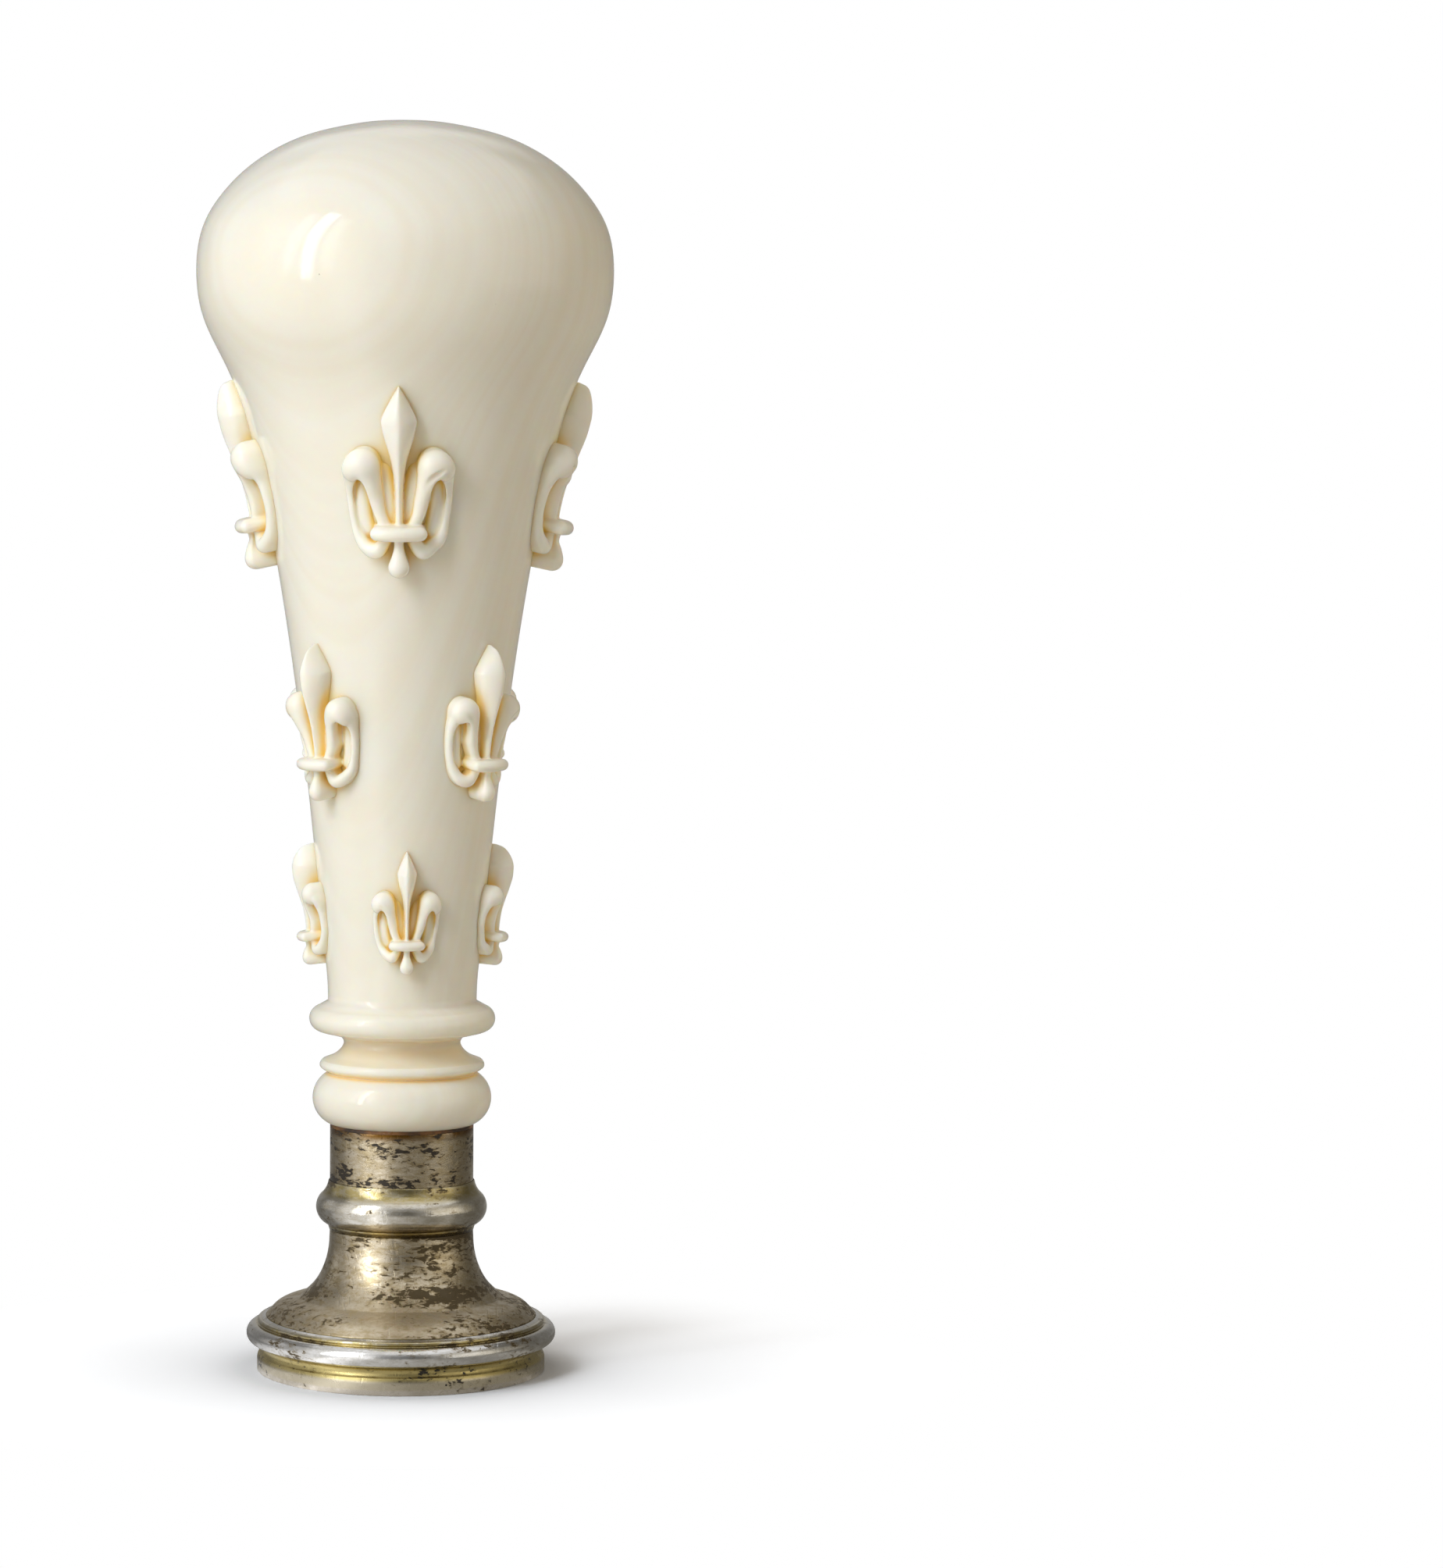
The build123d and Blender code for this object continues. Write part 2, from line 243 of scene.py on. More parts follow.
def newMaterial(name):
    material = bpy.data.materials.new(name)
    material.use_nodes = True
    wiring["tree"] = material.node_tree
    return material, material.node_tree.nodes["Principled BSDF"].inputs


# Hidden corners: one in a hollow, nought in the open
def makeHollowsGroup():
    group, start, end = newGroup("hollows", {"Reach": 1.5, "Sharpness": 1.0}, ["Mask"])
    reach = times(start["Reach"], mm)
    shade = addNode("AmbientOcclusion", {"Distance": reach}, samples=12)
    hidden = calc("SUBTRACT", 1.0, shade.outputs["AO"])
    plug(end["Mask"], calc("POWER", hidden, start["Sharpness"]))
    return group


# Growth layers of the ivory, which show as faint rings round one side of the knob
def makeGrowthGroup():
    group, start, end = newGroup("growthLines", {"Layers": 900.0, "Waver": 0.0011}, ["Tone", "Cloud"])
    place = position()
    facing = addNode("VectorMath", {0: place, 1: (-0.5, -0.84, 0.16)}, operation="DOT_PRODUCT")
    waver = times(noise(place, 70.0, 2.0), start["Waver"])
    depth = calc("ADD", facing.outputs["Value"], waver)
    layers = times(depth, start["Layers"])
    lines = addNode("TexNoise", {"W": layers, "Scale": 1.0, "Detail": 2.0}, noise_dimensions="1D")
    plug(end["Tone"], remap(lines.outputs["Fac"], 0.3, 0.7))
    plug(end["Cloud"], remap(noise(place, 110.0, 3.0), 0.35, 0.65))
    return group


# Specks and pores
def makeSpecksGroup():
    group, start, end = newGroup("specks", {"Spacing": 2.0, "Size": 0.1, "Share": 0.3}, ["Mask"])
    scale = calc("DIVIDE", 1000.0, start["Spacing"])
    cells = addNode("TexVoronoi", {"Vector": position(), "Scale": scale})
    size = calc("DIVIDE", start["Size"], start["Spacing"])
    spot = calc("LESS_THAN", cells.outputs["Distance"], size)
    pick = addNode("SeparateColor", {0: cells.outputs["Color"]}).outputs[0]
    kept = calc("LESS_THAN", pick, start["Share"])
    plug(end["Mask"], times(spot, kept))
    return group


# Tarnish: ragged flecks that run round the metal, a brown film beside them, and a fine haze
def makeTarnishGroup():
    sockets = {"Cover": 0.5, "Streak": 2.6}
    group, start, end = newGroup("tarnish", sockets, ["Flecks", "Film", "Haze"])
    lengths = addNode("CombineXYZ", {0: 1.0, 1: 1.0, 2: start["Streak"]}).outputs[0]
    streaks = addNode("VectorMath", {0: position(), 1: lengths}, operation="MULTIPLY").outputs[0]
    broad = noise(streaks, 190.0, 3.0, 0.55)
    ragged = noise(streaks, 1350.0, 5.0, 0.62, 0.5)
    both = times(calc("ADD", broad, ragged), 0.5)
    low = calc("SUBTRACT", 0.62, times(start["Cover"], 0.14))
    high = calc("ADD", low, 0.012)
    flecks = addNode("MapRange", {"Value": both, 1: low, 2: high}).outputs[0]
    plug(end["Flecks"], flecks)
    plug(end["Film"], remap(both, calc("SUBTRACT", low, 0.05), high))
    plug(end["Haze"], remap(noise(streaks, 900.0, 6.0, 0.75, 0.3), 0.32, 0.7))
    return group


# Fine rubbed lines
def makeScratchGroup():
    group, end = newGroup("scratches", {}, ["Lines"])[::2]
    place = position()
    total = 0.0
    for turn, scale in ((0.3, 700.0), (1.4, 520.0), (2.3, 900.0)):
        inputs = {"Vector": place, "Rotation": (0.2 * turn, 0.5 * turn, turn)}
        inputs["Scale"] = (scale * 3, scale / 14, scale)
        lines = noise(addNode("Mapping", inputs).outputs[0], 1.0, 1.0, 0.4, 0.3)
        total = calc("MAXIMUM", total, remap(lines, 0.66, 0.74))
    plug(end["Lines"], total)
    return group


hollowsGroup = makeHollowsGroup()
growthGroup = makeGrowthGroup()
specksGroup = makeSpecksGroup()
tarnishGroup = makeTarnishGroup()
scratchGroup = makeScratchGroup()
print("shared effects ready")


# Ivory: creamy and translucent, warmer in the layers, with a painted amber glow and shade in the hollows and
# a painted warm glow round the fleurs, where light is trapped
bodyIvory = {
    "cream": (0.9, 0.875, 0.79, 1), "layer": (0.86, 0.8, 0.65, 1), "paintedGlowAmber": (0.95, 0.66, 0.19, 1),
    "glow": (0.88, 0.73, 0.45, 1), "speck": (0.16, 0.1, 0.05, 1), "layerShow": 0.32, "cloudShow": 0.14,
    "speckShow": 0.4, "specks": {"Spacing": 3.4, "Size": 0.07, "Share": 0.2}, "reach": 1.9,
    "paintedGlowRange": (0.28, 0.74), "paintedGlowReach": 4.5, "paintedGlowSharpness": 1.5, "polish": 420.0, "rough": (0.06, 0.11),
    "ripple": 900.0, "bump": (0.04, 0.05), "ior": 1.54, "subsurface": 0.6, "spread": (1.0, 0.68, 0.38),
    "depth": 2.2,
}
fleurIvory = bodyIvory | {
    "cream": (0.93, 0.91, 0.84, 1), "layer": (0.9, 0.85, 0.72, 1), "paintedGlowAmber": (0.95, 0.7, 0.23, 1),
    "glow": (0.91, 0.8, 0.54, 1), "layerShow": 0.2, "cloudShow": 0.2, "reach": 1.4, "paintedGlowRange": (0.3, 0.8),
    "paintedGlowReach": 3.0, "paintedGlowSharpness": 1.6, "rough": (0.16, 0.26), "depth": 0.8,
}


def makeIvory(name, look):
    material, shader = newMaterial(name)
    growth = useGroup(growthGroup)
    hollows = useGroup(hollowsGroup, Reach=look["reach"])
    around = useGroup(hollowsGroup, Reach=look["paintedGlowReach"], Sharpness=look["paintedGlowSharpness"])
    specks = useGroup(specksGroup, **look["specks"])
    color = layerColors(
        look["cream"],
        (times(growth["Tone"], look["layerShow"]), look["layer"]),
        (times(growth["Cloud"], look["cloudShow"]), look["layer"]),
        # painted warm glow and soft shade on the shaft round each fleur, from a wide occlusion mask
        (around["Mask"], look["glow"]),
        # painted amber glow and shade deep in the hollows between the carved parts
        (remap(hollows["Mask"], *look["paintedGlowRange"]), look["paintedGlowAmber"]),
        (times(specks["Mask"], look["speckShow"]), look["speck"]),
    )
    place = position()
    polish = noise(place, look["polish"], 4.0, 0.6)
    ripple = noise(place, look["ripple"], 2.0)
    setInputs(shader, {
        "Base Color": color, "Roughness": remap(polish, 0.3, 0.7, *look["rough"]),
        "Normal": bumped(ripple, *look["bump"]), "IOR": look["ior"],
        "Subsurface Weight": look["subsurface"], "Subsurface Radius": look["spread"],
        "Subsurface Scale": look["depth"] * mm,
    })
    return material


# Old silver: rubbed bright where it stands out, gilt in the grooves, brown and black where it is left alone
# It was turned on a lathe, so its grain stretches the glints up and down
collarSilver = {
    "silver": (0.63, 0.555, 0.43, 1), "dull": (0.42, 0.33, 0.185, 1), "gilt": (0.42, 0.33, 0.11, 1),
    "film": (0.25, 0.18, 0.085, 1), "black": (0.035, 0.027, 0.018, 1), "stain": (0.16, 0.075, 0.012, 1),
    "cover": 0.5, "gather": 0.5, "stainFrom": 18.75, "rough": (0.15, 0.3), "toRight": 0.08, "relief": 0.35,
    "bands": [(18.2, 0.9, 0.28), (15.4, 0.8, 0.26)], "grain": 0.7, "gildings": [], "matte": (0.0, 1.0, 0.0),
    "creases": {"Reach": 2.6, "Sharpness": 1.2}, "grooves": {"Reach": 0.8, "Sharpness": 0.9},
    "filmShow": 0.75, "filmRough": 0.16, "lines": -0.7, "flecks": -0.8, "haze": 0.7, "bumpDepth": 0.03,
    "grainTurn": 0.25, "halfAside": 4.0, "stainRise": 0.75,
}
footSilver = collarSilver | {
    "cover": 0.42, "gather": 0.3, "stainFrom": 90.0, "black": (0.075, 0.052, 0.02, 1), "toRight": 0.2,
    "bands": [(6.8, 1.0, 0.34), (11.3, 0.5, 0.34), (9.0, 1.8, 0.14)], "gildings": [(11.7, 0.4)],
    "matte": (5.6, 7.4, 0.22),
}
beadSilver = footSilver | {
    "silver": (0.74, 0.71, 0.65, 1), "dull": (0.54, 0.49, 0.39, 1), "cover": 0.12, "gather": 0.9,
    "rough": (0.08, 0.18), "toRight": 0.05, "relief": 0.18, "bands": [(15.1, 0.5, 0.4)], "grain": 0.3,
    "gildings": [(14.8, 0.85), (11.7, 0.4)], "matte": (0.0, 1.0, 0.0),
}
mouldingSilver = beadSilver | {
    "silver": (0.76, 0.75, 0.74, 1), "dull": (0.56, 0.54, 0.5, 1), "bands": [], "gildings": [(4.0, 0.3)],
}


def nearHeight(height, middle, inner, outer, most):  # falls to nought above and below the middle
    off = calc("ABSOLUTE", calc("SUBTRACT", height, middle))
    return remap(off, inner, outer, most, 0.0)


def makeSilver(name, look):
    material, shader = newMaterial(name)
    place = position()
    height = calc("DIVIDE", coordinate(place, "Z"), mm)
    creases = useGroup(hollowsGroup, **look["creases"])["Mask"]
    grooves = useGroup(hollowsGroup, **look["grooves"])["Mask"]
    cover = calc("MULTIPLY_ADD", creases, look["gather"], look["cover"])
    end, more = look["halfAside"] * mm, look["toRight"]
    cover = calc("ADD", cover, remap(coordinate(place, "X"), -end, end, -more, more))
    for middle, half, more in look["bands"]:  # heights where the flecks gather
        cover = calc("ADD", cover, nearHeight(height, middle, 0.0, half, more))
    tarnish = useGroup(tarnishGroup, Cover=cover)
    scratches = useGroup(scratchGroup)
    layers = [(tarnish["Haze"], look["dull"]), (remap(grooves, 0.2, 0.55), look["gilt"])]
    for middle, half in look["gildings"]:  # heights where the gilding is left
        worn = remap(tarnish["Haze"], 0.2, 0.9, 0.9, 0.4)
        left = nearHeight(height, middle, 0.4 * half, half, 1.0)
        layers.append((times(worn, left), look["gilt"]))
    layers.append((times(tarnish["Film"], look["filmShow"]), look["film"]))
    stain = remap(height, look["stainFrom"], look["stainFrom"] + look["stainRise"])
    stain = times(stain, remap(noise(place, 300.0, 4.0), 0.3, 0.6))
    layers += [(stain, look["stain"]), (tarnish["Flecks"], look["black"])]
    rough = remap(tarnish["Haze"], 0.0, 1.0, *look["rough"])
    rough = calc("MULTIPLY_ADD", tarnish["Film"], look["filmRough"], rough)
    low, high, more = look["matte"]  # duller from here down
    rough = calc("ADD", rough, remap(height, low, high, more, 0.0))
    relief = times(scratches["Lines"], look["lines"])
    relief = calc("MULTIPLY_ADD", tarnish["Flecks"], look["flecks"], relief)
    relief = calc("MULTIPLY_ADD", tarnish["Haze"], look["haze"], relief)
    setInputs(shader, {
        "Base Color": layerColors(look["silver"], *layers), "Roughness": rough,
        "Metallic": remap(tarnish["Flecks"], 0.0, 1.0, 1.0, 0.4),
        "Normal": bumped(relief, look["relief"], look["bumpDepth"]),
        "Tangent": addNode("Tangent", direction_type="RADIAL", axis="Z").outputs[0],
        "Anisotropic": look["grain"], "Anisotropic Rotation": look["grainTurn"],
    })
    return material


ivoryBody = makeIvory("ivoryBody", bodyIvory)
ivoryFleurs = makeIvory("ivoryFleurs", fleurIvory)
silverCollar = makeSilver("silverCollar", collarSilver)
silverFoot = makeSilver("silverFoot", footSilver)
silverBead = makeSilver("silverBead", beadSilver)
silverMoulding = makeSilver("silverMoulding", mouldingSilver)
print("ivory and silver ready")


# Handle, turned in one piece from the spigot to the crown
handleShape = {
    "spigotRadius": 4.7, "spigotEnd": 14.25, "foot": 19.85, "footRadius": 5.75,
    "baseRing": (7.16, 21.9), "nick": (5.92, 23.98),
    "flange": [(6.36, 24.26), (6.6, 24.44), (6.6, 24.72), (6.42, 24.98)],
    "hollow": [(6.42, 24.98), (5.5, 25.36), (4.88, 25.9), (4.68, 26.42), (4.9, 26.82), (5.35, 27.02)],
    "topRing": [(6.72, 27.36), (7.45, 28.35), (6.78, 29.28)],
    "sides": [
        (5.95, 29.75), (6.06, 32.0), (7.4, 45.0), (8.1, 51.0), (9.05, 58.0), (10.0, 64.0), (10.9, 69.0),
        (11.78, 73.0), (12.85, 77.0), (13.92, 79.8), (14.66, 81.3), (15.4, 82.8), (16.0, 84.2),
        (16.38, 85.7), (16.54, 87.2), (16.56, 88.4), (16.41, 90.1), (15.97, 91.7), (15.2, 93.15),
        (14.04, 94.66), (12.55, 96.14), (10.5, 97.55), (8.86, 98.36), (6.75, 99.1), (2.95, 99.85),
        (0.0, 100.0),
    ],
    "around": 200,
}
handleSide = fairLine(smoothLine(handleShape["sides"], 8), 0.55, 60)


def buildHandle(shape):
    radius, end, low = pick(shape, "spigotRadius spigotEnd foot")
    foot = (shape["footRadius"], low)
    line = [(radius, end), (radius, low), foot]
    line += arcThrough(foot, shape["baseRing"], shape["nick"], 26)[1:]
    line += shape["flange"] + smoothLine(shape["hollow"], 8)[1:].tolist()
    line += arcThrough(*shape["topRing"], 18)
    line = softCorners([tuple(p) for p in line] + [tuple(handleSide[0])], 0.22)
    line += handleSide[1:].tolist()
    turns = roundTurns(shape["around"])
    loops = [poleLoop(end)] + [ovalLoop(r, 0, z, turns) for r, z in line]
    points, faces = skinLoops(loops + [poleLoop(shape["sides"][-1][1])])
    addPiece("turnedHandle", points, faces, "handle", ivoryBody)


buildHandle(handleShape)
print("handle turned")


# Fleurs-de-lis. Stations of a limb: across, up and radius as shares of the height, then how far the middle
# of its round top lies over the shaft, in millimetres
petalLimb = [
    (0.058, 0.24, 0.03, 0.95), (0.097, 0.323, 0.034, 0.85), (0.117, 0.4, 0.04, 0.85),
    (0.137, 0.47, 0.05, 0.95), (0.16, 0.53, 0.066, 1.0), (0.187, 0.58, 0.086, 0.92),
    (0.212, 0.57, 0.078, 0.88), (0.24, 0.53, 0.05, 0.66), (0.257, 0.455, 0.033, 0.4),
    (0.256, 0.37, 0.03, 0.26), (0.243, 0.285, 0.03, 0.24), (0.214, 0.2, 0.033, 0.36),
    (0.17, 0.15, 0.037, 0.65), (0.12, 0.13, 0.042, 0.85), (0.08, 0.17, 0.034, 0.9),
    (0.056, 0.232, 0.03, 0.95),
]
groundLimbs = [  # low ground between lance and petal, and inside the loop
    [
        (0.04, 0.29, 0.046, -0.05), (0.056, 0.38, 0.052, -0.12), (0.074, 0.46, 0.058, -0.25),
        (0.092, 0.53, 0.058, -0.45),
    ],
    [
        (0.17, 0.23, 0.044, -0.3), (0.195, 0.31, 0.052, -0.38), (0.204, 0.4, 0.052, -0.38),
        (0.205, 0.47, 0.048, -0.36),
    ],
]
bandLimb = [(x, 0.24 - 0.1 * x * x, 0.037, 2.25 - 34 * x * x) for x in np.linspace(-0.098, 0.098, 7)]
dropLimb = [
    (0.0, 0.225, 0.026, 1.55), (0.0, 0.16, 0.024, 1.5), (0.0, 0.105, 0.036, 1.7),
    (0.0, 0.062, 0.05, 1.7), (0.0, 0.048, 0.046, 1.55),
]
creaseLimb = [
    (0.106, 0.43, 0.012, 1.92), (0.14, 0.502, 0.016, 2.02), (0.18, 0.548, 0.016, 2.12),
    (0.212, 0.572, 0.01, 2.16),
]
# Lance: up and half-width as shares, then the height of its ridge and of its edges in millimetres
lanceBlade = [
    (0.22, 0.026, 1.65, 1.45), (0.3, 0.021, 1.5, 1.25), (0.43, 0.021, 1.55, 1.2),
    (0.53, 0.029, 1.72, 1.18), (0.62, 0.046, 1.94, 1.14), (0.72, 0.076, 2.15, 1.05),
    (0.79, 0.092, 2.15, 0.95), (0.82, 0.091, 2.12, 0.92), (0.865, 0.071, 1.95, 0.82),
    (0.917, 0.042, 1.6, 0.7), (0.956, 0.018, 1.2, 0.6), (0.98, 0.003, 0.85, 0.5),
]
lanceRoof = {
    "middle": 0.6, "halfLength": 0.38, "narrowing": 3, "leastHalf": 0.05, "overhang": 1.3, "curve": 1.6,
    "reliefShare": 0.4, "slant": 0.8, "blend": 0.28,
}
# Hollows under each hood: middle and half-sizes, as shares across and up, and in millimetres outwards
hoodHollows = [((0.196, 0.37, 1.3), (0.044, 0.15, 1.6)), ((0.203, 0.44, 0.35), (0.046, 0.11, 0.75))]
# Root is how deep a fleur is let into the shaft, trueAt how far over the shaft its widths hold
fleurCarving = {
    "root": 1.3, "across": 0.31, "up": (-0.03, 1.04), "margin": 0.2, "out": 3.3, "unlike": 0.018,
    "creased": 0.5, "hoodBlend": 0.15, "creaseBlend": 0.12, "groundBlend": 0.25, "petalBlend": 0.12,
    "bandBlend": 0.16, "trueAt": 0.9, "leanFrom": 4, "leanTo": 8,
}
fleurColumns = ("rise", "height", "firstTurn", "lanceWidth", "relief", "voxel")
fleurTable = {
    "upper": (34.8, 15.4, 0, 1.0, 1.0, 0.105),
    "middle": (16.65, 12.65, 45, 1.1, 0.9, 0.095),
    "lower": (2.95, 9.95, 0, 0.86, 0.78, 0.08),
}
fleurRows = {row: dict(zip(fleurColumns, values)) for row, values in fleurTable.items()}
fleurPlaces = {0: ("front", "right", "back", "left"),
               45: ("front_right", "back_right", "back_left", "front_left")}
fleurSlips = {  # degrees that a fleur was set off its even place
    "upper_fleur_front": -2.0, "middle_fleur_front_left": -3.0, "middle_fleur_front_right": 1.5,
    "lower_fleur_front": 2.5,
}
farOff = 1.0  # distances are only worked out this near to a surface


def softMin(a, b, blend):
    return np.minimum(a, b) - np.maximum(blend - np.abs(a - b), 0) ** 2 / (4 * blend)


def softMax(a, b, blend):
    return -softMin(-a, -b, blend)


def gridLength(dx, dy, dz):
    return np.sqrt(dx[:, None, None] ** 2 + dy[None, :, None] ** 2 + dz[None, None, :] ** 2)


# Distances from a limb: a row of balls, which reach down to the shaft unless they float
def limbField(axes, stations, look, side=1, floats=False):
    field = np.full([len(axis) for axis in axes], farOff)
    for x, y, radius, lift in smoothLine(stations, 7):
        x, y, radius = side * x * look["height"], y * look["height"], radius * look["height"]
        lift *= look["relief"]
        reach, middle = radius + farOff, (x, y, lift)
        ends = [np.searchsorted(axis, (at - reach, at + reach)) for axis, at in zip(axes, middle)]
        spans = [slice(*pair) for pair in ends]
        if not floats:
            spans[2] = slice(0, spans[2].stop)
        dx, dy, dz = (axis[span] - at for axis, span, at in zip(axes, spans, middle))
        gap = gridLength(dx, dy, dz if floats else np.maximum(dz, 0)) - radius
        part = field[tuple(spans)]
        np.minimum(part, gap, out=part)
    return field


def lanceField(axes, look, roof):
    line = smoothLine(lanceBlade, 6)
    ups = axes[1] / look["height"]
    half, ridge, edge = (np.interp(ups, line[:, 0], line[:, i])[None, :, None] for i in (1, 2, 3))
    past = np.maximum(np.abs(ups - roof["middle"]) - roof["halfLength"], 0)[None, :, None]
    half = half * look["height"] * look["lanceWidth"] - roof["narrowing"] * past
    lower = look["relief"] ** roof["reliefShare"]
    ridge, edge = ridge * lower, edge * lower
    aside = np.abs(axes[0])[:, None, None]
    share = np.clip(aside / np.maximum(half, roof["leastHalf"]), 0, roof["overhang"])
    top = ridge - (ridge - edge) * share ** roof["curve"]
    return softMax((axes[2][None, None, :] - top) * roof["slant"], aside - half, roof["blend"])


def hollowField(axes, middle, half, look, side):
    size = np.array([look["height"], look["height"], look["relief"]])
    spots = np.array(middle) * size * (side, 1, 1)
    halves = np.array(half) * size
    dx, dy, dz = ((axis - at) / reach for axis, at, reach in zip(axes, spots, halves))
    return (gridLength(dx, dy, dz) - 1) * halves.min()


# The surface where a field of distances passes nought: one point in each cell that it crosses
def skinField(field, axes):
    cells = np.array(field.shape) - 1
    total, count = np.zeros((*cells, 3)), np.zeros(cells)
    for ends, axis in itertools.product(itertools.product((0, 1), repeat=3), range(3)):
        if ends[axis]:
            continue
        near = field[tuple(slice(e, e + n) for e, n in zip(ends, cells))]
        beyond = [e + (i == axis) for i, e in enumerate(ends)]
        far = field[tuple(slice(e, e + n) for e, n in zip(beyond, cells))]
        crossed = (near < 0) != (far < 0)
        share = near / np.where(crossed, near - far, 1)
        for i in range(3):
            total[..., i] += np.where(crossed, share if i == axis else ends[i], 0)
        count += crossed
    used = count > 0
    number = np.full(cells, -1)
    number[used] = np.arange(used.sum())
    step = np.array([axis[1] - axis[0] for axis in axes])
    start = np.array([axis[0] for axis in axes])
    points = start + (np.argwhere(used) + total[used] / count[used][:, None]) * step
    inside = field < 0
    faces = []
    for axis in range(3):
        first = [slice(0, -1) if i == axis else slice(1, -1) for i in range(3)]
        second = [slice(1, None) if i == axis else slice(1, -1) for i in range(3)]
        edges = np.argwhere(inside[tuple(first)] != inside[tuple(second)])
        steps = np.delete(np.eye(3, dtype=int), axis, axis=0)
        edges = edges + steps.sum(axis=0)
        corners = [edges - steps[0] - steps[1], edges - steps[1], edges, edges - steps[0]]
        faces.append(np.column_stack([number[tuple(corner.T)] for corner in corners]))
    return points, np.vstack(faces).tolist()


def shaftRadius(z):
    return np.interp(z, handleSide[:160, 1], handleSide[:160, 0])


# Bends a flat carving round the shaft, with its foot at the given rise
def bendRound(flat, rise, look):
    across, up, out = flat.T
    foot = handleShape["sides"][0][1] + rise
    low, high = look["leanFrom"], look["leanTo"]
    lean = math.atan2(shaftRadius(foot + high) - shaftRadius(foot + low), high - low)
    z = foot + up * math.cos(lean)
    ground = shaftRadius(z)
    turn = across / (ground + look["trueAt"])
    reach = ground + out * math.cos(lean)
    return np.column_stack([reach * np.sin(turn), -reach * np.cos(turn), z - out * math.sin(lean)])


def carveFleur(look, cut, dice):
    height = look["height"]
    across = cut["across"] * height
    up = [share * height for share in cut["up"]]
    ends = ((-across, across), up, (-cut["root"] - cut["margin"], cut["out"]))
    axes = [np.arange(low, high, look["voxel"]) for low, high in ends]
    field = lanceField(axes, look, lanceRoof)
    for side in (1, -1):
        unlike = 1 + dice.normal(0, cut["unlike"], (len(petalLimb), 4))  # no two petals are quite alike
        petal = limbField(axes, np.array(petalLimb) * unlike, look, side)
        for middle, half in hoodHollows:
            petal = softMax(petal, -hollowField(axes, middle, half, look, side), cut["hoodBlend"])
        if dice.random() < cut["creased"]:
            crease = limbField(axes, creaseLimb, look, side, floats=True)
            petal = softMax(petal, -crease, cut["creaseBlend"])
        for limb in groundLimbs:
            petal = softMin(petal, limbField(axes, limb, look, side), cut["groundBlend"])
        field = softMin(field, petal, cut["petalBlend"])
    for limb in (bandLimb, dropLimb):
        field = softMin(field, limbField(axes, limb, look), cut["bandBlend"])
    field = np.maximum(field, -cut["root"] - axes[2][None, None, :])
    return skinField(field, axes)


def buildFleurs():
    dice = np.random.default_rng(7)
    for row, look in fleurRows.items():
        for i, place in enumerate(fleurPlaces[look["firstTurn"]]):
            flat, faces = carveFleur(look, fleurCarving, dice)
            node = f"{row}_fleur_{place}"
            turn = look["firstTurn"] + 90 * i + fleurSlips.get(node, 0)
            turn = Matrix.Rotation(math.radians(turn), 3, "Z")
            points = bendRound(flat, look["rise"], fleurCarving) @ np.array(turn).T
            addPiece(f"{node}_carved", points, faces, node, ivoryFleurs)
        print(row, "fleurs carved,", len(points), "points each")


buildFleurs()


# Metal mount: profiles run up the outside, as half-width and height
collarShape = {"radius": 5.75, "bore": 5.05, "low": 13.3, "top": 19.6}
beadShape = {
    "inner": 5.78, "bottom": 11.3, "top": 15.3, "front": [(5.92, 11.75), (6.85, 13.25), (6.5, 14.1)],
    "cove": [(6.5, 14.1), (6.08, 14.6), (5.86, 15.25)],
}
footShape = {
    "mouth": 10.85, "extra": 2.2, "low": 4.35, "shoulder": (9.85, 5.3), "waist": (8.1, 5.86),
    "flare": [(7.12, 6.8), (6.58, 7.57), (6.22, 8.35), (5.98, 9.1), (5.82, 10.0), (5.76, 11.0)],
    "neckRadius": 5.75, "neckLead": 0.3, "top": 13.3, "wall": 0.8,
}
mouldingShape = {
    "inner": 9.23, "extra": 2.2, "low": 2.15, "inset": 0.1, "seat": (10.85, 4.35),
    "bead": [(11.62, 2.2), (12.4, 2.98), (11.5, 3.78)],
    "fillet": [(11.42, 3.86), (11.5, 4.04), (11.24, 4.2)],
}
mountAround = 220  # points round each ring of metal


def ringPiece(name, profile, extraAt, node, material, corner):
    line = softCorners(profile + [profile[0]], corner)[:-1]
    turns = roundTurns(mountAround)
    points, faces = skinLoops([ovalLoop(w, extraAt(w), z, turns) for w, z in line], closed=True)
    addPiece(name, points, faces, node, material)


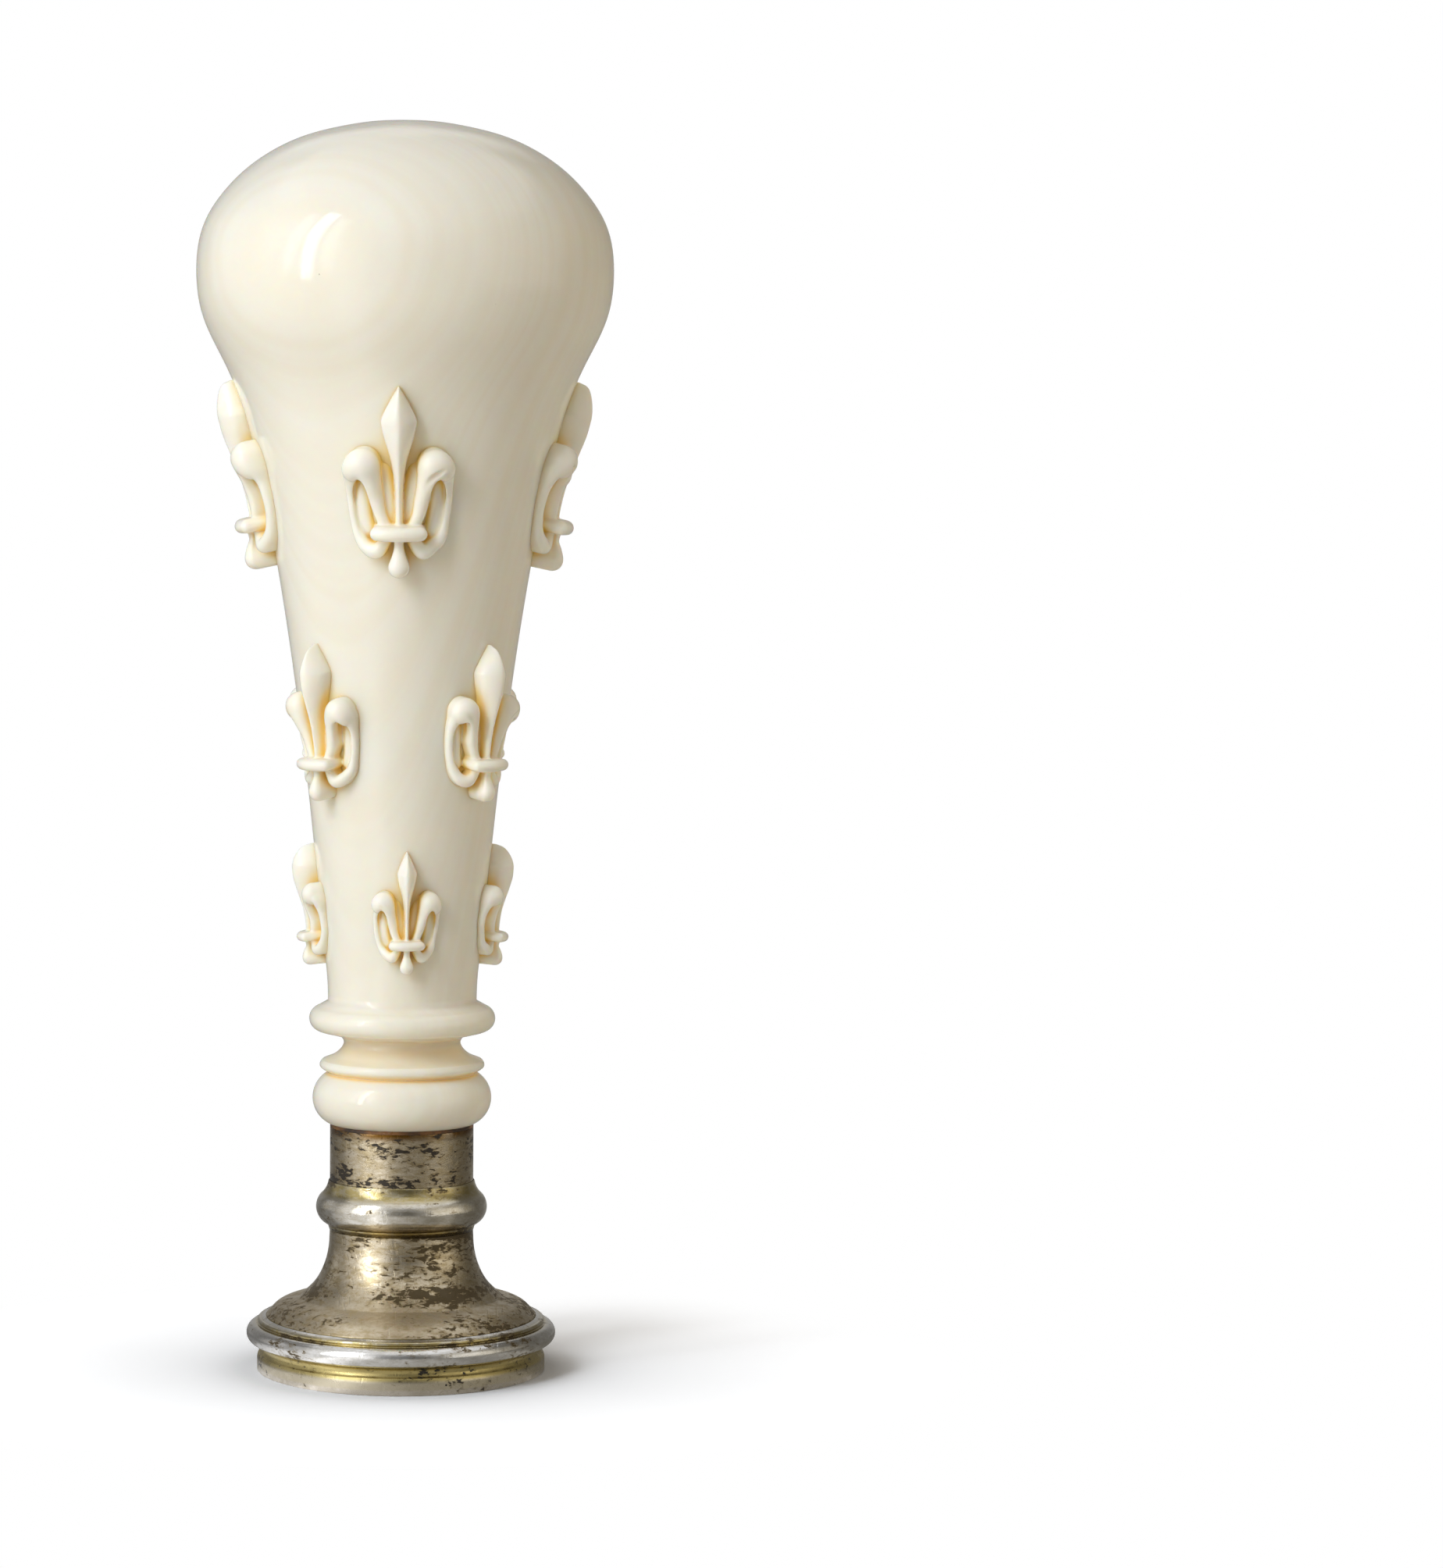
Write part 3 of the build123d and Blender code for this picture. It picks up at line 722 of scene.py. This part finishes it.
def buildMount():
    radius, bore, low, top = pick(collarShape, "radius bore low top")
    profile = [(radius, z) for z in np.linspace(low, top, 14)] + [(bore, top), (bore, low)]
    ringPiece("collarTube", profile, lambda w: 0, "collar", silverCollar, 0.06)

    inner, bottom, top = pick(beadShape, "inner bottom top")
    outside = arcThrough(*beadShape["front"], 26) + arcThrough(*beadShape["cove"], 10)[1:]
    profile = [(inner, bottom)] + outside + [(inner, top)]
    ringPiece("neckBead", profile, lambda w: 0, "neck_bead", silverBead, 0.07)

    mouth, neck, low, top, wall = pick(footShape, "mouth neckRadius low top wall")
    waist, flare = pick(footShape, "waist flare")
    spread = footShape["extra"] / (mouth - neck)
    outside = smoothLine([(mouth, low), footShape["shoulder"], waist], 10).tolist()
    outside += smoothLine([waist, *flare], 8)[1:].tolist()
    outside += [(neck, flare[-1][1] + footShape["neckLead"]), (neck, top)]
    outside = [tuple(p) for p in outside]
    inside = [(w - wall, max(z - wall, low)) for w, z in outside[::-1][1:-3]]
    profile = outside + [(neck - wall, top)] + inside
    ringPiece("flaredFoot", profile, lambda w: max(w - neck, 0) * spread, "flared_foot", silverFoot, 0.08)

    inner, extra, low, seat, bead = pick(mouldingShape, "inner extra low seat bead")
    profile = [(inner, low), (bead[0][0] - mouldingShape["inset"], low)] + arcThrough(*bead, 26)
    profile += arcThrough(*mouldingShape["fillet"], 8) + [seat, (inner, seat[1])]
    ringPiece("rimMoulding", profile, lambda w: extra, "rim_moulding", silverMoulding, 0.07)


buildMount()
print("mount made")


# Die: hollow edge, border groove, a row of punched dots and an engraved rosette with scrolls
dieShape = {
    "halfWidth": 11.55, "extra": 2.2, "rim": 1.15, "coveTop": 2.15, "coveDepth": 0.3, "plug": 9.2,
    "plugTop": 3.15, "brink": (0.12, 0.2), "lip": (0.03, 0.02), "lipDrop": 0.3, "corner": 0.07, "land": 0.4,
    "grooveWidth": 0.5, "grooveDepth": 0.28, "grooveEdge": 0.1, "dotRow": 10.18, "dots": 104,
    "dotRadius": 0.28, "dotDepth": 0.22, "dotLoops": 13, "dotReach": 1.05, "field": 9.8, "fieldLoops": 118,
    "bodyCount": 260, "fieldCount": 520, "dotCount": 1040,
}
engraving = {
    "petals": 8, "petalMiddle": 1.35, "petalHalf": (0.82, 0.36), "button": 0.34, "beads": 16,
    "beadRing": 2.62, "beadRadius": 0.17, "depth": 0.26, "bud": 0.5,
    "scroll": {
        "middle": (3.35, 5.75), "reach": (2.55, 0.62), "turns": 1.55, "from": -125, "width": (0.36, 0.17),
    },
    "leaves": [
        ((5.55, 0.0), (1.5, 0.4), 0), ((5.2, 1.15), (1.25, 0.3), 38), ((3.6, 9.2), (0.95, 0.3), 20),
        ((6.55, 6.6), (1.0, 0.3), 75), ((0.0, 4.2), (0.34, 1.2), 0), ((0.9, 8.6), (0.3, 0.9), -24),
    ],
}


def evenTurns(halfWidth, extra, count):  # normals at even steps along the oval
    offset = extra * (1 + math.sqrt(0.5))
    side, end = halfWidth + offset, halfWidth + extra - offset
    turns = np.radians([-45, 45, 135, 225, 315])
    run = np.cumsum([0, side, end, side, end]) * math.pi / 2
    first = side * math.pi / 4
    return np.interp((np.arange(count) / count * run[-1] + first) % run[-1], run, turns)


def leafCut(x, y, middle, half, tilt):
    c, s = math.cos(math.radians(tilt)), math.sin(math.radians(tilt))
    dx, dy = x - middle[0], y - middle[1]
    across, along = (dx * c + dy * s) / half[0], (dy * c - dx * s) / half[1]
    return np.clip(1 - across ** 2 - np.abs(along) / np.sqrt(np.clip(1 - across ** 2, 0.05, 1)), 0, 1)


# How deep the graver went, from nought to one, the same in all four quarters
def graverDepth(x, y, cut):
    x, y = np.abs(x), np.abs(y)
    reach, turn = np.hypot(x, y), np.arctan2(y, x)
    step = math.tau / cut["petals"]
    nearest = (turn + step / 2) % step - step / 2
    along, aside = reach * np.cos(nearest) - cut["petalMiddle"], reach * np.sin(nearest)
    half = cut["petalHalf"]
    deep = 1 - (along / half[0]) ** 2 - (aside / half[1]) ** 2
    deep = np.maximum(deep, 1 - (reach / cut["button"]) ** 2)
    step = math.tau / cut["beads"]
    nearest = turn % step - step / 2
    gap = np.hypot(reach * np.cos(nearest) - cut["beadRing"], reach * np.sin(nearest))
    deep = np.maximum(deep, 1 - (gap / cut["beadRadius"]) ** 2)
    scroll = cut["scroll"]
    middle, (far, near), (wide, thin) = (scroll[key] for key in ("middle", "reach", "width"))
    for share in np.linspace(0, 1, 150):
        turnedBy = math.radians(scroll["from"] + 360 * scroll["turns"] * share)
        radius = far + (near - far) * share ** 0.85
        px, py = middle[0] + radius * math.cos(turnedBy), middle[1] + radius * math.sin(turnedBy)
        gap = (x - px) ** 2 + (y - py) ** 2
        deep = np.maximum(deep, 1 - gap / (wide + (thin - wide) * share) ** 2)
    deep = np.maximum(deep, 1 - gap / cut["bud"] ** 2)
    for middle, half, tilt in cut["leaves"]:
        deep = np.maximum(deep, leafCut(x, y, middle, half, tilt))
    return np.clip(deep, 0, 1)


def buildDie(shape, material):
    w, extra, rim, top, plugged = pick(shape, "halfWidth extra rim coveTop plug")
    turns = {n: evenTurns(shape["dotRow"], extra, shape[n]) for n in ("bodyCount", "fieldCount", "dotCount")}
    outside = [(plugged, shape["plugTop"]), (plugged, top), (w, top)]
    brink = (w - shape["brink"][0], rim + shape["brink"][1])
    lip = (w - shape["lip"][0], rim - shape["lip"][1])
    outside += arcThrough((w, top), (w - shape["coveDepth"], (top + rim) / 2), brink, 14)[1:]
    outside += arcThrough(brink, lip, (w, rim - shape["lipDrop"]), 6)[1:]
    outside += [(w, rim * 0.4), (w, 0.0)]
    land = w - shape["land"]
    groove = land - shape["grooveWidth"]
    outside += [(land, 0.0)]
    outside += arcThrough((land, 0), ((land + groove) / 2, shape["grooveDepth"]), (groove, 0), 10)[1:]
    outside += [(groove - shape["grooveEdge"], 0.0)]
    loops = [poleLoop(shape["plugTop"])]
    outside = softCorners(outside, shape["corner"])
    loops += [ovalLoop(half, extra, z, turns["bodyCount"]) for half, z in outside]
    cut = [np.zeros(len(loop)) for loop in loops]
    row, radius = shape["dotRow"], shape["dotRadius"]
    many = turns["dotCount"]
    perDot = shape["dotCount"] // shape["dots"]
    pitch = np.linalg.norm(np.diff(ovalLoop(row, extra, 0.0, many)[:2], axis=0)) * perDot
    aside = (np.arange(shape["dotCount"]) % perDot / perDot - 0.5) * pitch
    reach = radius * shape["dotReach"]
    for offset in np.linspace(reach, -reach, shape["dotLoops"]):
        deep = np.sqrt(np.clip(1 - (offset ** 2 + aside ** 2) / radius ** 2, 0, 1))
        loops.append(ovalLoop(row + offset, extra, shape["dotDepth"] * deep, many))
        cut.append(deep)
    edge = ovalLoop(shape["field"], extra, 0.0, turns["fieldCount"])
    for share in np.linspace(1, 0, shape["fieldLoops"], endpoint=False):
        loop = edge * (share, share, 1)
        deep = graverDepth(loop[:, 0], loop[:, 1], engraving)
        loop[:, 2] = deep * engraving["depth"]
        loops.append(loop)
        cut.append(deep)
    loops.append(poleLoop(engraving["depth"]))
    cut.append(np.ones(1))
    points, faces = skinLoops(loops)
    piece = addPiece("engravedDie", points, faces, "matrix", material)
    marks = piece.data.attributes.new("graverCut", "FLOAT", "POINT")
    marks.data.foreach_set("value", np.concatenate(cut))


dieSilver = {
    "field": (0.62, 0.57, 0.5, 1), "dull": (0.48, 0.43, 0.35, 1), "gilt": (0.52, 0.425, 0.18, 1),
    "cutGilt": (0.66, 0.45, 0.1, 1), "film": (0.22, 0.17, 0.07, 1), "black": (0.03, 0.025, 0.018, 1),
    "rim": (0.55, 0.49, 0.36, 1), "cover": 0.26, "streak": 1.6, "filmShow": 0.45, "rough": (0.24, 0.4),
    "specks": {"Spacing": 1.1, "Size": 0.09, "Share": 0.25}, "rimFrom": (0.3, 0.5), "giltFrom": (0.95, 1.25),
    "lines": -1.0, "haze": 0.4, "bump": (0.3, 0.02),
}


def makeDie(name, look):
    material, shader = newMaterial(name)
    tarnish = useGroup(tarnishGroup, Cover=look["cover"], Streak=look["streak"])
    scratches = useGroup(scratchGroup)
    specks = useGroup(specksGroup, **look["specks"])
    place = position()
    graver = addNode("Attribute", attribute_name="graverCut").outputs["Fac"]
    height = coordinate(place, "Z")
    rimLow, rimHigh = (z * mm for z in look["rimFrom"])
    giltLow, giltHigh = (z * mm for z in look["giltFrom"])
    dark = remap(noise(place, 240.0, 4.0, 0.6), 0.55, 0.63)
    dark = times(dark, remap(graver, 0.2, 0.6))
    for marks in (tarnish["Flecks"], specks["Mask"]):
        dark = calc("MAXIMUM", dark, marks)
    color = layerColors(
        look["field"],
        (tarnish["Haze"], look["dull"]),
        (remap(height, rimLow, rimHigh, 0.0, 0.8), look["rim"]),
        (remap(height, giltLow, giltHigh), look["gilt"]),
        (remap(graver, 0.02, 0.18), look["cutGilt"]),
        (times(tarnish["Film"], look["filmShow"]), look["film"]),
        (dark, look["black"]),
    )
    relief = times(scratches["Lines"], look["lines"])
    relief = calc("MULTIPLY_ADD", tarnish["Haze"], look["haze"], relief)
    setInputs(shader, {
        "Base Color": color, "Metallic": remap(dark, 0.0, 1.0, 1.0, 0.3),
        "Roughness": remap(tarnish["Haze"], 0.0, 1.0, *look["rough"]),
        "Normal": bumped(relief, *look["bump"]),
    })
    return material


buildDie(dieShape, makeDie("engravedSilver", dieSilver))
print("die engraved")


# Cement line over the collar, and the pitch inside
cementLook = {
    "first": (0.2, 0.085, 0.02, 1), "second": (0.03, 0.016, 0.008, 1), "rough": (0.25, 0.5), "grain": 420.0,
}
pitchLook = {
    "first": (0.02, 0.016, 0.012, 1), "second": (0.06, 0.05, 0.04, 1), "rough": (0.35, 0.7), "grain": 300.0,
}


def refinish(node, name, look):
    material, shader = newMaterial(name)
    mottle = noise(position(), look["grain"], 4.0, 0.6)
    setInputs(shader, {
        "Base Color": blendColor(remap(mottle, 0.4, 0.62), look["first"], look["second"]),
        "Roughness": remap(mottle, 0.3, 0.7, *look["rough"]),
        "Normal": bumped(mottle, 0.4, 0.05),
    })
    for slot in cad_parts[node].material_slots:
        slot.material = material


refinish("shellac_cement", "amberCement", cementLook)
refinish("pitch_filling", "darkPitch", pitchLook)
print("cement and pitch ready")


# Stage, in metres: a pale floor with a painted soft shadow that fades into white, soft lamps, and a dim room
# that only reflections see
# Each lamp: turn from the front towards the right and rise in degrees, metres away from its aim on the axis
paneLook = {
    "rise": 26, "away": 0.64, "aim": 0.06, "size": (0.085, 0.56), "power": 0.22, "tint": (0.96, 1.0, 1.04),
    "mirrored": True,
}
softLook = {"away": 0.7, "aim": 0.05, "mirrored": False}
lampLook = {
    "window": paneLook | {"turn": -55, "size": (0.085, 0.66), "power": 0.88},
    "leftPane": paneLook | {"turn": -67},
    "rightPane": paneLook | {"turn": -43},
    "curtain": softLook | {
        "turn": -34, "rise": 32, "size": (0.16, 0.42), "power": 2.12, "tint": (0.97, 1.0, 1.03),
    },
    "edge": softLook | {
        "turn": -104, "rise": 16, "size": (0.4, 0.5), "power": 0.32, "tint": (0.72, 0.92, 1.2),
    },
    "fill": softLook | {
        "turn": 112, "rise": 14, "size": (0.6, 0.5), "power": 1.55, "tint": (1.0, 0.9, 0.71),
    },
}
stageLook = {
    "floor": (0.9, 0.925, 0.98, 1), "bounce": (0.88, 0.83, 0.74, 1), "lift": 0.66, "fade": (0.028, 0.046),
    # lampSide, shadowReach and shadowDepth set the painted shadow on the floor
    "lampSide": (-0.6, -0.64, 0.36), "shadowReach": 0.07, "shadowDepth": 5.2,
    "worldTint": (1.0, 0.915, 0.79, 1), "worldDiffuse": 0.285, "reach": 4.0, "sink": 0.05, "rough": 0.9,
    "sparedBy": ("fill", "edge"),
}
# How bright and how warm the room is, at shares of a turn from behind the seal, past its left, its front and
# its right: low on the wall, higher up, and on the floor that the metal mirrors
roomLook = {
    "radius": 0.76, "height": 0.95, "foot": -0.01, "overhead": (1.0, 0.85), "overheadFrom": 0.2,
    "overheadTo": 0.95, "rise": (0.36, 0.52), "roof": (0.75, 0.99), "warmth": (0.08, 0.25), "around": 96,
    "wall": [
        (0.0, 0.4, 0.3), (0.06, 0.26, 0.2), (0.11, 0.2, 0.2), (0.155, 0.5, 0.1), (0.21, 0.46, 0.1),
        (0.27, 0.95, 0.0), (0.37, 0.95, 0.0), (0.4, 1.4, 0.0), (0.425, 1.1, 0.0), (0.455, 0.34, 0.0),
        (0.53, 0.17, 0.1), (0.59, 0.32, 0.4), (0.635, 0.9, 0.5), (0.72, 0.92, 0.7), (0.775, 0.32, 1.0),
        (0.84, 0.14, 0.8), (0.93, 0.18, 0.5), (1.0, 0.4, 0.3),
    ],
    "upper": [
        (0.0, 1.0, 0.1), (0.04, 0.8, 0.1), (0.075, 0.26, 0.1), (0.17, 0.26, 0.1), (0.27, 1.0, 0.0),
        (0.4, 0.95, 0.0), (0.46, 0.48, 0.0), (0.53, 0.28, 0.2), (0.6, 0.55, 0.4), (0.65, 0.66, 0.6),
        (0.74, 0.45, 0.8), (0.82, 0.16, 0.8), (0.93, 0.13, 0.5), (0.967, 0.7, 0.2), (1.0, 1.0, 0.1),
    ],
    "floor": [
        (0.0, 0.4, 0.2), (0.06, 0.24, 0.2), (0.11, 0.18, 0.2), (0.19, 0.25, 0.1), (0.25, 0.6, 0.0),
        (0.3, 0.9, 0.0), (0.37, 0.95, 0.0), (0.4, 1.45, 0.0), (0.425, 1.15, 0.0), (0.455, 0.64, 0.2),
        (0.53, 0.42, 0.4), (0.6, 0.28, 0.5), (0.68, 0.36, 0.6), (0.72, 0.19, 0.8), (0.8, 0.15, 0.8),
        (0.88, 0.16, 0.6), (0.94, 0.26, 0.4), (1.0, 0.4, 0.2),
    ],
}


def addLamps():
    for name, look in lampLook.items():
        lamp = bpy.data.lights.new(name, "AREA")
        lamp.shape = "RECTANGLE"
        lamp.size, lamp.size_y = look["size"]
        lamp.energy = look["power"]
        lamp.color = look["tint"]
        holder = bpy.data.objects.new(name, lamp)
        turn, rise = math.radians(look["turn"]), math.radians(look["rise"])
        away = Vector((math.sin(turn) * math.cos(rise), -math.cos(turn) * math.cos(rise), math.sin(rise)))
        holder.location = Vector((0, 0, look["aim"])) + away * look["away"]
        holder.rotation_euler = (-away).to_track_quat("-Z", "Y").to_matrix().to_euler()
        holder.visible_camera = False
        holder.visible_glossy = look["mirrored"]
        bpy.context.collection.objects.link(holder)


def raysSeen():  # one for rays that show the white surround, nought for those that light the seal
    path = addNode("LightPath").outputs
    seen = calc("MAXIMUM", path["Is Camera Ray"], path["Is Glossy Ray"])
    return calc("MAXIMUM", seen, path["Is Transmission Ray"])


def ringColor(place, stops):  # a colour by direction from the axis
    left = times(coordinate(place, "X"), -1.0)
    turn = calc("ARCTAN2", left, coordinate(place, "Y"))
    ramp = addNode("ValToRGB", {0: calc("FRACT", calc("DIVIDE", turn, math.tau))})
    ramp.color_ramp.interpolation = "EASE"
    marks = ramp.color_ramp.elements
    green, blue = roomLook["warmth"]  # what full warmth takes away of each
    for i, (at, level, warm) in enumerate(stops):
        mark = marks[i] if i < 2 else marks.new(at)
        mark.position = at
        mark.color = (level, level * (1 - green * warm), level * (1 - blue * warm), 1)
    return ramp.outputs[0]


def addWorld(look):
    world = bpy.data.worlds.new("studio")
    world.use_nodes = True
    bpy.context.scene.world = world
    wiring["tree"] = world.node_tree
    seen = raysSeen()
    setInputs(world.node_tree.nodes["Background"].inputs, {
        "Color": blendColor(seen, look["worldTint"], (1, 1, 1, 1)),
        "Strength": remap(seen, 0, 1, look["worldDiffuse"], 1.0),
    })


def stageObject(name, points, faces):
    mesh = bpy.data.meshes.new(name)
    mesh.from_pydata(points, [], faces)
    made = bpy.data.objects.new(name, mesh)
    bpy.context.collection.objects.link(made)
    material, shader = newMaterial(name)
    mesh.materials.append(material)
    return made, material.node_tree.nodes, shader


def addFloor(look):
    reach = look["reach"]
    corners = [(-reach, -reach, 0), (reach, -reach, 0), (reach, reach, 0), (-reach, reach, 0)]
    floor, nodes, shader = stageObject("paleFloor", corners, [(0, 1, 2, 3)])
    floor.location.z = -look["sink"] * mm
    path = addNode("LightPath").outputs
    watched, mirrored = path["Is Camera Ray"], path["Is Glossy Ray"]
    seen = raysSeen()
    place = position()
    # painted shadow: occlusion towards the lamp side dims the floor's white glow beside the seal
    inputs = {"Distance": look["shadowReach"], "Normal": Vector(look["lampSide"]).normalized()}
    paintedShadowAO = addNode("AmbientOcclusion", inputs, samples=16).outputs["AO"]
    lift = times(calc("POWER", paintedShadowAO, look["shadowDepth"]), look["lift"])
    setInputs(shader, {
        "Base Color": blendColor(watched, look["bounce"], look["floor"]), "Roughness": look["rough"],
        "Specular IOR Level": 0.0, "Emission Color": (1, 1, 1, 1),
        "Emission Strength": times(lift, seen),
    })
    away = addNode("VectorMath", {0: place}, operation="LENGTH").outputs["Value"]
    fade = times(remap(away, *look["fade"]), seen)
    color = blendColor(mirrored, (1, 1, 1, 1), ringColor(place, roomLook["floor"]))
    white = addNode("Emission", {"Color": color}).outputs[0]
    near = nodes["Principled BSDF"].outputs[0]
    whiter = calc("MAXIMUM", fade, mirrored)
    top = addNode("MixShader", {0: whiter, 1: near, 2: white}).outputs[0]
    under = addNode("NewGeometry").outputs["Backfacing"]
    clear = addNode("BsdfTransparent").outputs[0]
    both = addNode("MixShader", {0: under, 1: top, 2: clear}).outputs[0]
    plug(nodes["Material Output"].inputs[0], both)
    spared = bpy.data.collections.new("sparedFloor")
    spared.objects.link(floor)
    spared.collection_objects[0].light_linking.link_state = "EXCLUDE"
    for name in look["sparedBy"]:  # these lamps cast no shadow of the seal on the floor
        bpy.data.objects[name].light_linking.receiver_collection = spared


def addRoom(look):
    turns = roundTurns(look["around"])
    ring = [(look["radius"] * math.cos(t), look["radius"] * math.sin(t)) for t in turns]
    points = [(x, y, z) for z in (look["foot"], look["height"]) for x, y in ring]
    n = len(ring)
    faces = [(i, (i + 1) % n, n + (i + 1) % n, n + i) for i in range(n)] + [tuple(range(n, 2 * n))]
    room, nodes = stageObject("dimRoom", points, faces)[:2]
    for kind in ("camera", "diffuse", "transmission", "volume_scatter", "shadow"):
        setattr(room, "visible_" + kind, False)
    place = position()
    level = addNode("VectorMath", {0: place, 1: (1, 1, 0)}, operation="MULTIPLY").outputs[0]
    away = addNode("VectorMath", {0: level}, operation="LENGTH").outputs["Value"]
    ends = (look["overheadFrom"], look["overheadTo"] * look["radius"])
    overhead = remap(away, *ends, *look["overhead"])
    height = coordinate(place, "Z")
    rise = remap(height, *look["rise"])
    wall, upper = (ringColor(place, look[part]) for part in ("wall", "upper"))
    roof = remap(height, *(share * look["height"] for share in look["roof"]))
    color = layerColors(wall, (rise, upper), (roof, overhead))
    glow = addNode("Emission", {"Color": color}).outputs[0]
    plug(nodes["Material Output"].inputs[0], glow)


# Camera: as far off as the photograph's, with its frame of 1848 by 2008 pixels
cameraLook = {
    "distance": 588.0, "height": 97.0, "top": 100.0, "imageHeight": 2008, "imageWidth": 1848,
    "axisAt": 515.0, "apexAt": 156.7, "baseAt": 1753.1, "roll": 0.45,
}


def addCamera(look):
    data = bpy.data.cameras.new("view")
    data.sensor_width = 36.0
    distance, height, wide, tall = pick(look, "distance height imageWidth imageHeight")
    above, below = tall / 2 - look["apexAt"], look["baseAt"] - tall / 2
    down = math.atan(height / distance)
    up = math.atan((look["top"] - height) / distance)
    ratio = below / above
    spread = math.tan(down + up)
    slope = (math.sqrt((1 + ratio) ** 2 + 4 * ratio * spread ** 2) - 1 - ratio) / (2 * ratio * spread)
    focal = above / slope  # in pixels
    data.lens = focal * data.sensor_width / tall
    camera = bpy.data.objects.new("view", data)
    camera.location = (0, -distance * mm, height * mm)
    yaw = math.atan((wide / 2 - look["axisAt"]) / focal)
    pitch = up - math.atan(slope)
    turn = Matrix.Rotation(-yaw, 4, "Z") @ Matrix.Rotation(math.pi / 2 + pitch, 4, "X")
    camera.rotation_euler = (turn @ Matrix.Rotation(math.radians(look["roll"]), 4, "Z")).to_euler()
    bpy.context.collection.objects.link(camera)
    bpy.context.scene.camera = camera


addLamps()
addWorld(stageLook)
addFloor(stageLook)
addRoom(roomLook)
addCamera(cameraLook)
bpy.context.scene.view_settings.view_transform = "Standard"
print("stage and camera set")
